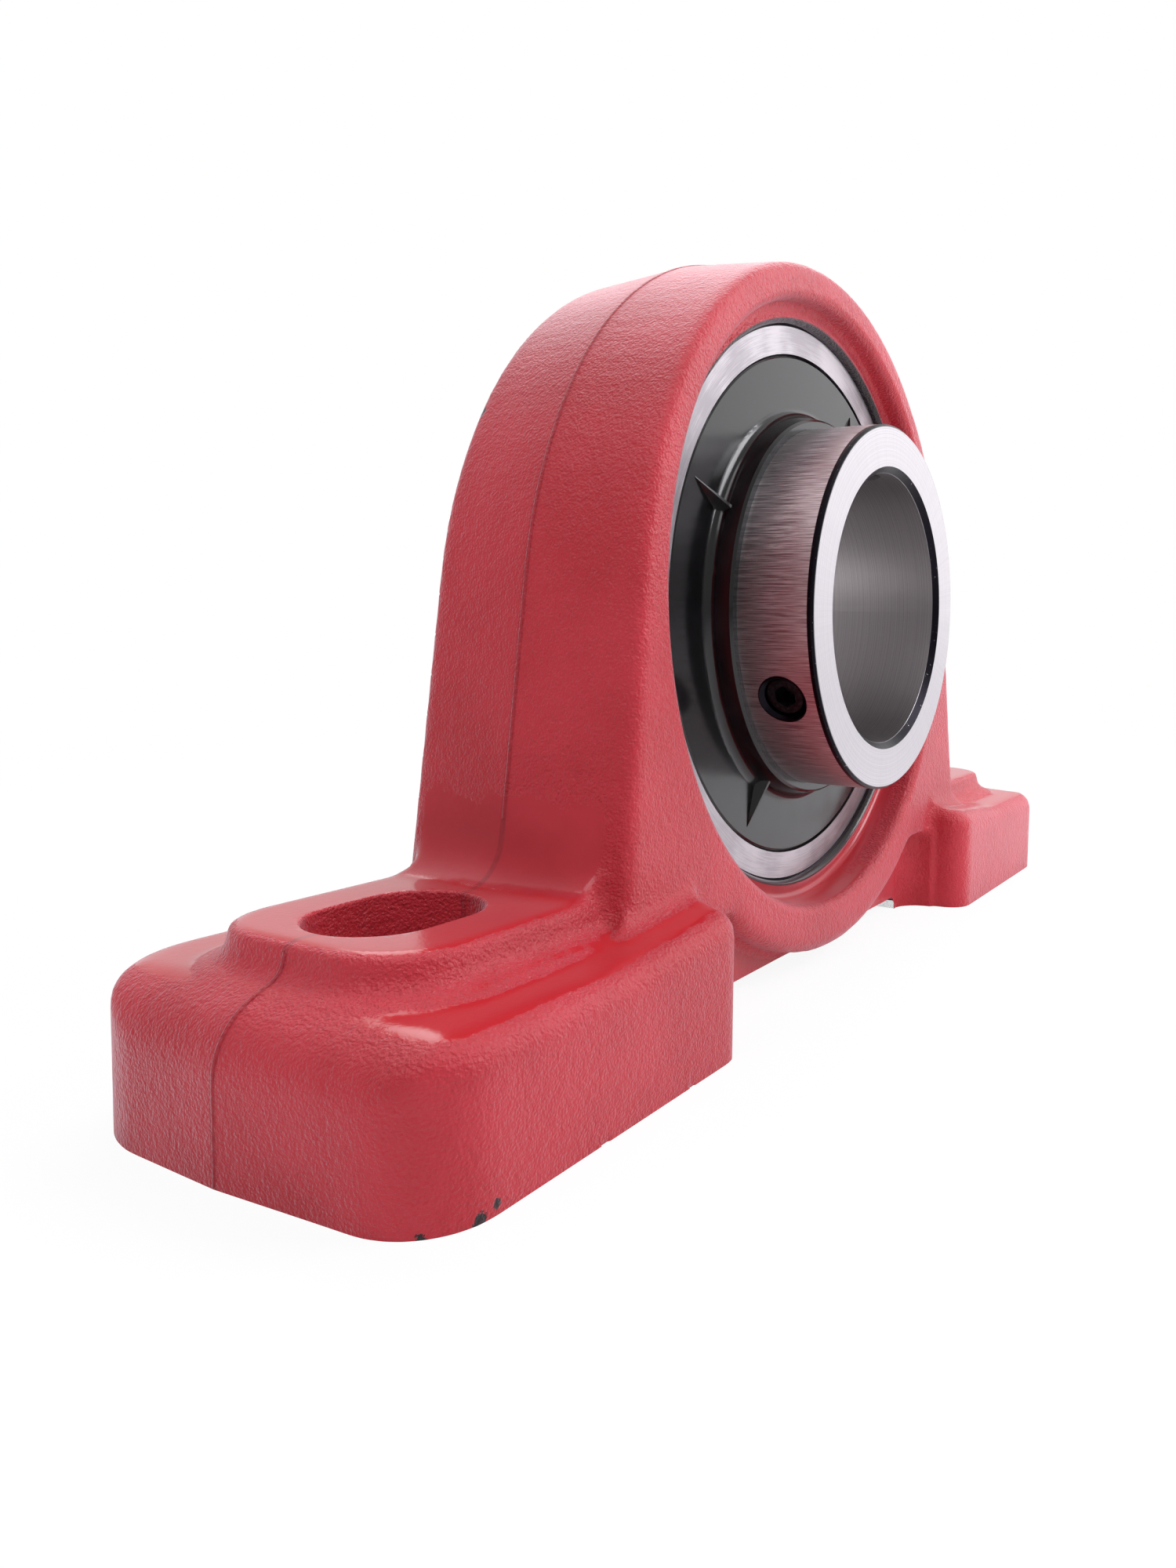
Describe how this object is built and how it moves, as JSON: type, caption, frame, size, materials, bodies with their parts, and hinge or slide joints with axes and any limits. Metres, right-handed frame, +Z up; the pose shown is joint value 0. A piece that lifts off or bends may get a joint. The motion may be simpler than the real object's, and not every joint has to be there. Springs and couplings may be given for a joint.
{
  "type": "pillow block bearing",
  "caption": "Cast two-bolt pillow block housing with a self-aligning ball bearing insert that carries a round shaft level over a flat base.",
  "frame": {"origin": "middle of the two feet on their underside, below the ball row's mid-plane", "axes": "+X along the base towards the right-hand foot seen from the front, +Y along the shaft from the long end of the inner ring to the back, +Z up"},
  "size_m": [0.52, 0.1422, 0.2913],
  "materials": {
    "housing_paint": "red gloss paint over sand-cast iron",
    "outer_ring_steel": "bright ground",
    "inner_ring_steel": "ground, black oxide left on the chamfers",
    "ball_steel": "polished",
    "cage_steel": "pressed sheet",
    "rivet_steel": "plain",
    "seal_rubber": "matt",
    "flinger_black": "smooth glossy black",
    "screw_black": "black oxide",
    "nipple_plated": "zinc plated",
    "nipple_ball_steel": "polished",
    "spring_steel": "drawn wire"
  },
  "bodies": {
    "housing_body": {"housing": "housing_paint", "nipple_body": "nipple_plated"},
    "insert_body": {"outer_ring": "outer_ring_steel", "seal_front": "seal_rubber", "seal_back": "seal_rubber"},
    "inner_body": {"inner_ring": "inner_ring_steel", "flinger_front": "flinger_black", "flinger_back": "flinger_black"},
    "cage_body": {"cage_front": "cage_steel", "cage_back": "cage_steel", "cage_rivets": "rivet_steel"},
    "ball_1_body": {"ball_1": "ball_steel"},
    "ball_2_body": {"ball_2": "ball_steel"},
    "ball_3_body": {"ball_3": "ball_steel"},
    "ball_4_body": {"ball_4": "ball_steel"},
    "ball_5_body": {"ball_5": "ball_steel"},
    "ball_6_body": {"ball_6": "ball_steel"},
    "ball_7_body": {"ball_7": "ball_steel"},
    "ball_8_body": {"ball_8": "ball_steel"},
    "screw_1_body": {"set_screw_1": "screw_black"},
    "screw_2_body": {"set_screw_2": "screw_black"},
    "valve_body": {"nipple_ball": "nipple_ball_steel", "nipple_spring": "spring_steel"}
  },
  "joints": [
    {"name": "insert_swivel", "type": "hinge", "parent": "housing_body", "child": "insert_body", "pos_m": [0, 0, 0.15], "axis": [1, 0, 0], "range_deg": [-2, 2]},
    {"name": "inner_spin", "type": "hinge", "parent": "insert_body", "child": "inner_body", "pos_m": [0, 0, 0.15], "axis": [0, 1, 0], "continuous": true},
    {"name": "cage_orbit", "type": "hinge", "parent": "insert_body", "child": "cage_body", "pos_m": [0, 0, 0.15], "axis": [0, 1, 0], "continuous": true},
    {"name": "ball_1_roll", "type": "hinge", "parent": "cage_body", "child": "ball_1_body", "pos_m": [0.08084, 0, 0.18349], "axis": [0, 1, 0], "continuous": true},
    {"name": "ball_2_roll", "type": "hinge", "parent": "cage_body", "child": "ball_2_body", "pos_m": [0.03349, 0, 0.23084], "axis": [0, 1, 0], "continuous": true},
    {"name": "ball_3_roll", "type": "hinge", "parent": "cage_body", "child": "ball_3_body", "pos_m": [-0.03349, 0, 0.23084], "axis": [0, 1, 0], "continuous": true},
    {"name": "ball_4_roll", "type": "hinge", "parent": "cage_body", "child": "ball_4_body", "pos_m": [-0.08084, 0, 0.18349], "axis": [0, 1, 0], "continuous": true},
    {"name": "ball_5_roll", "type": "hinge", "parent": "cage_body", "child": "ball_5_body", "pos_m": [-0.08084, 0, 0.11651], "axis": [0, 1, 0], "continuous": true},
    {"name": "ball_6_roll", "type": "hinge", "parent": "cage_body", "child": "ball_6_body", "pos_m": [-0.03349, 0, 0.06916], "axis": [0, 1, 0], "continuous": true},
    {"name": "ball_7_roll", "type": "hinge", "parent": "cage_body", "child": "ball_7_body", "pos_m": [0.03349, 0, 0.06916], "axis": [0, 1, 0], "continuous": true},
    {"name": "ball_8_roll", "type": "hinge", "parent": "cage_body", "child": "ball_8_body", "pos_m": [0.08084, 0, 0.11651], "axis": [0, 1, 0], "continuous": true},
    {"name": "set_screw_1_drive", "type": "slide", "parent": "inner_body", "child": "screw_1_body", "axis": [-0.8805, 0, -0.4741], "range_m": [-0.001, 0.006]},
    {"name": "set_screw_2_drive", "type": "slide", "parent": "inner_body", "child": "screw_2_body", "axis": [0.0297, 0, 0.9996], "range_m": [-0.001, 0.006]},
    {"name": "nipple_valve", "type": "slide", "parent": "housing_body", "child": "valve_body", "axis": [-0.6428, 0, -0.766], "range_m": [0, 0.0008], "stiffness_N_per_m": 200, "springref_m": -0.001}
  ],
  "couplings": [
    {"joint": "cage_orbit", "follows": "inner_spin", "ratio": 0.38207},
    {"joint": "ball_1_roll", "follows": "inner_spin", "ratio": -2.002},
    {"joint": "ball_2_roll", "follows": "inner_spin", "ratio": -2.002},
    {"joint": "ball_3_roll", "follows": "inner_spin", "ratio": -2.002},
    {"joint": "ball_4_roll", "follows": "inner_spin", "ratio": -2.002},
    {"joint": "ball_5_roll", "follows": "inner_spin", "ratio": -2.002},
    {"joint": "ball_6_roll", "follows": "inner_spin", "ratio": -2.002},
    {"joint": "ball_7_roll", "follows": "inner_spin", "ratio": -2.002},
    {"joint": "ball_8_roll", "follows": "inner_spin", "ratio": -2.002}
  ]
}
